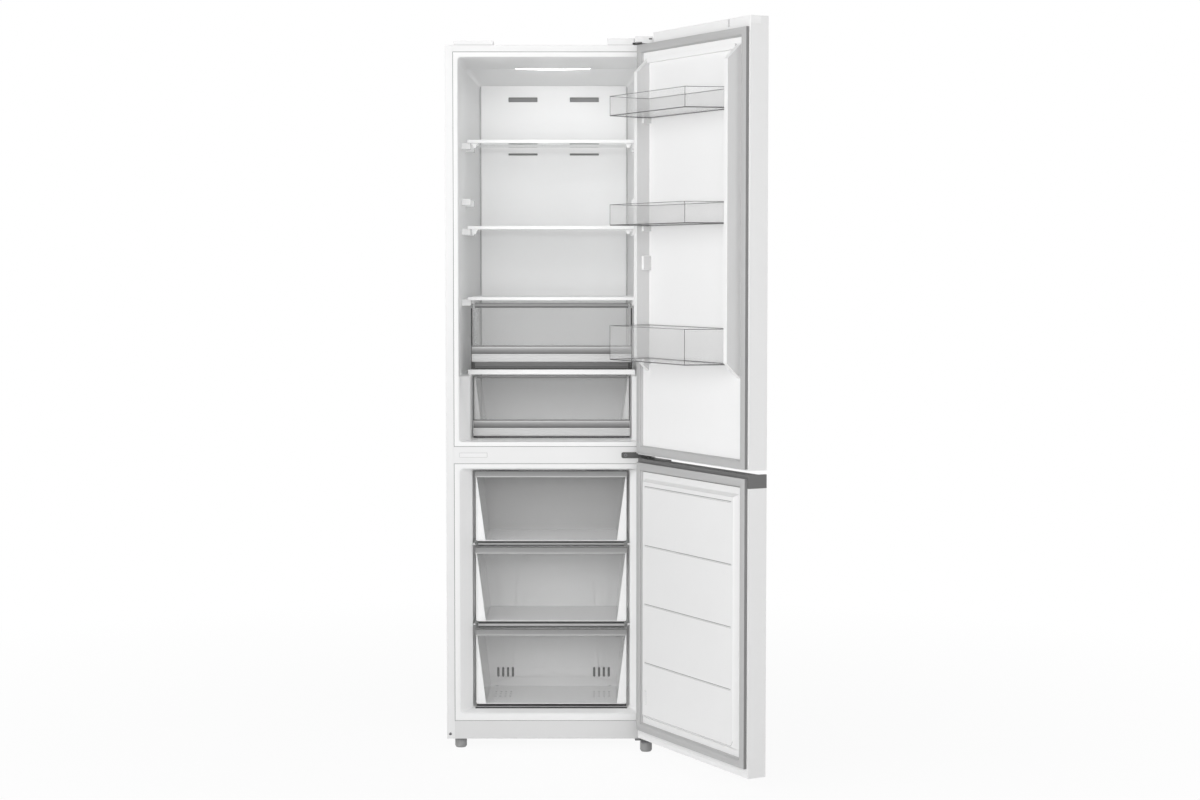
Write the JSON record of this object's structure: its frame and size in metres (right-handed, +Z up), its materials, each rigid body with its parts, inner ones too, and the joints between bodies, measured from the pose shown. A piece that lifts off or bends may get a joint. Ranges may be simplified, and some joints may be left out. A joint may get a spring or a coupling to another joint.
{
  "type": "refrigerator",
  "caption": "Tall free-standing fridge-freezer with the freezer below, two hinged doors shown open, glass shelves, clear crispers, door bins and freezer drawers.",
  "frame": {"origin": "on the floor, under the middle of the cabinet's front plane", "axes": "+Z up, +X to the right as seen from the front, +Y from the front to the back"},
  "size_m": [0.8735, 1.1447, 2.028],
  "materials": {
    "white_steel": "smooth white enamel",
    "white_liner": "smooth white moulded",
    "white_trim": "glossy white",
    "foam": "rigid closed-cell foam",
    "galvanised": "bare galvanised sheet",
    "dark_steel": "dark grey coating",
    "zinc": "zinc plated",
    "dark_plastic": "fine satin texture",
    "grey_plastic": "satin grey",
    "gasket_grey": "soft matt grey",
    "shelf_glass": "clear toughened",
    "clear_plastic": "clear moulded",
    "metallic_bar": "metallic grey satin",
    "lamp_white": "frosted lens",
    "black_enamel": "black enamel",
    "black_rubber": "matt black",
    "bare_aluminium": "bare",
    "copper_steel": "plain tube",
    "roller_plastic": "hard black"
  },
  "bodies": {
    "cabinet": {"left_side_panel": "white_steel", "right_side_panel": "white_steel", "top_panel": "white_steel", "back_panel": "white_steel", "base_tray": "galvanised", "cabinet_insulation": "foam", "fridge_liner": "white_liner", "freezer_liner": "white_liner", "mullion_cover": "white_liner", "plinth": "white_liner", "air_duct_cover": "white_liner", "evaporator_cover": "white_liner", "lamp_lens": "lamp_white", "liner_supports": "white_trim", "top_hinge": "dark_steel", "hinge_covers": "white_trim", "middle_hinge": "dark_steel", "lower_hinge": "zinc", "hinge_screws": "zinc", "compressor": "black_enamel", "compressor_mounts": "black_rubber", "evaporator": "bare_aluminium", "fan_motor": "grey_plastic", "drip_tray": "dark_plastic", "condenser_coil": "copper_steel", "mains_inlet": "dark_plastic", "freezer_shelves": "shelf_glass"},
    "upper_door": {"upper_door_shell": "white_steel", "upper_door_liner": "white_liner", "upper_door_insulation": "foam", "upper_door_caps": "white_trim", "upper_door_gasket": "gasket_grey"},
    "lower_door": {"lower_door_shell": "white_steel", "lower_door_liner": "white_liner", "lower_door_insulation": "foam", "lower_door_grip": "dark_plastic", "lower_door_cap": "white_trim", "lower_door_gasket": "gasket_grey"},
    "upper_shelf": {"upper_shelf_glass": "shelf_glass", "upper_shelf_trim": "white_trim"},
    "middle_shelf": {"middle_shelf_glass": "shelf_glass", "middle_shelf_trim": "white_trim"},
    "lower_shelf": {"lower_shelf_glass": "shelf_glass", "lower_shelf_trim": "white_trim"},
    "crisper_cover": {"crisper_cover_glass": "shelf_glass", "crisper_cover_trim": "white_trim"},
    "fresh_drawer": {"fresh_drawer_tub": "clear_plastic", "fresh_drawer_bar": "metallic_bar"},
    "cool_drawer": {"cool_drawer_tub": "clear_plastic", "cool_drawer_bar": "metallic_bar"},
    "freezer_drawer_top": {"freezer_drawer_top": "clear_plastic"},
    "freezer_drawer_middle": {"freezer_drawer_middle": "clear_plastic"},
    "freezer_drawer_bottom": {"freezer_drawer_bottom": "clear_plastic"},
    "top_bin": {"top_bin": "clear_plastic"},
    "middle_bin": {"middle_bin": "clear_plastic"},
    "bottom_bin": {"bottom_bin": "clear_plastic"},
    "fan_blade": {"fan_blade": "grey_plastic"},
    "left_foot": {"left_foot": "grey_plastic"},
    "right_foot": {"right_foot": "grey_plastic"},
    "rear_rollers": {"rear_rollers": "roller_plastic"}
  },
  "joints": [
    {"name": "upper_door_hinge", "type": "hinge", "parent": "cabinet", "child": "upper_door", "pos_m": [0.2795, -0.038, 0], "axis": [0, 0, 1], "range_deg": [-118, 7]},
    {"name": "lower_door_hinge", "type": "hinge", "parent": "cabinet", "child": "lower_door", "pos_m": [0.2795, -0.038, 0], "axis": [0, 0, 1], "range_deg": [-118, 7]},
    {"name": "upper_shelf_slide", "type": "slide", "parent": "cabinet", "child": "upper_shelf", "axis": [0, -1, 0], "range_m": [0, 0.15]},
    {"name": "middle_shelf_slide", "type": "slide", "parent": "cabinet", "child": "middle_shelf", "axis": [0, -1, 0], "range_m": [0, 0.15]},
    {"name": "lower_shelf_slide", "type": "slide", "parent": "cabinet", "child": "lower_shelf", "axis": [0, -1, 0], "range_m": [0, 0.15]},
    {"name": "crisper_cover_slide", "type": "slide", "parent": "cabinet", "child": "crisper_cover", "axis": [0, -1, 0], "range_m": [0, 0.15]},
    {"name": "fresh_drawer_slide", "type": "slide", "parent": "cabinet", "child": "fresh_drawer", "axis": [0, -1, 0], "range_m": [0, 0.2]},
    {"name": "cool_drawer_slide", "type": "slide", "parent": "cabinet", "child": "cool_drawer", "axis": [0, -1, 0], "range_m": [0, 0.2]},
    {"name": "freezer_drawer_top_slide", "type": "slide", "parent": "cabinet", "child": "freezer_drawer_top", "axis": [0, -1, 0], "range_m": [0, 0.25]},
    {"name": "freezer_drawer_middle_slide", "type": "slide", "parent": "cabinet", "child": "freezer_drawer_middle", "axis": [0, -1, 0], "range_m": [0, 0.25]},
    {"name": "freezer_drawer_bottom_slide", "type": "slide", "parent": "cabinet", "child": "freezer_drawer_bottom", "axis": [0, -1, 0], "range_m": [0, 0.25]},
    {"name": "top_bin_lift", "type": "slide", "parent": "upper_door", "child": "top_bin", "axis": [0, 0, 1], "range_m": [0, 0.025]},
    {"name": "middle_bin_lift", "type": "slide", "parent": "upper_door", "child": "middle_bin", "axis": [0, 0, 1], "range_m": [0, 0.025]},
    {"name": "bottom_bin_lift", "type": "slide", "parent": "upper_door", "child": "bottom_bin", "axis": [0, 0, 1], "range_m": [0, 0.025]},
    {"name": "fan_spin", "type": "hinge", "parent": "cabinet", "child": "fan_blade", "pos_m": [0, 0.4, 0.729], "axis": [0, 1, 0], "continuous": true},
    {"name": "left_foot_turn", "type": "hinge", "parent": "cabinet", "child": "left_foot", "pos_m": [-0.26, 0.04, 0], "axis": [0, 0, 1], "continuous": true},
    {"name": "right_foot_turn", "type": "hinge", "parent": "cabinet", "child": "right_foot", "pos_m": [0.272, -0.02, 0], "axis": [0, 0, 1], "continuous": true},
    {"name": "rear_rollers_turn", "type": "hinge", "parent": "cabinet", "child": "rear_rollers", "pos_m": [0, 0.54, 0.014], "axis": [1, 0, 0], "continuous": true}
  ]
}
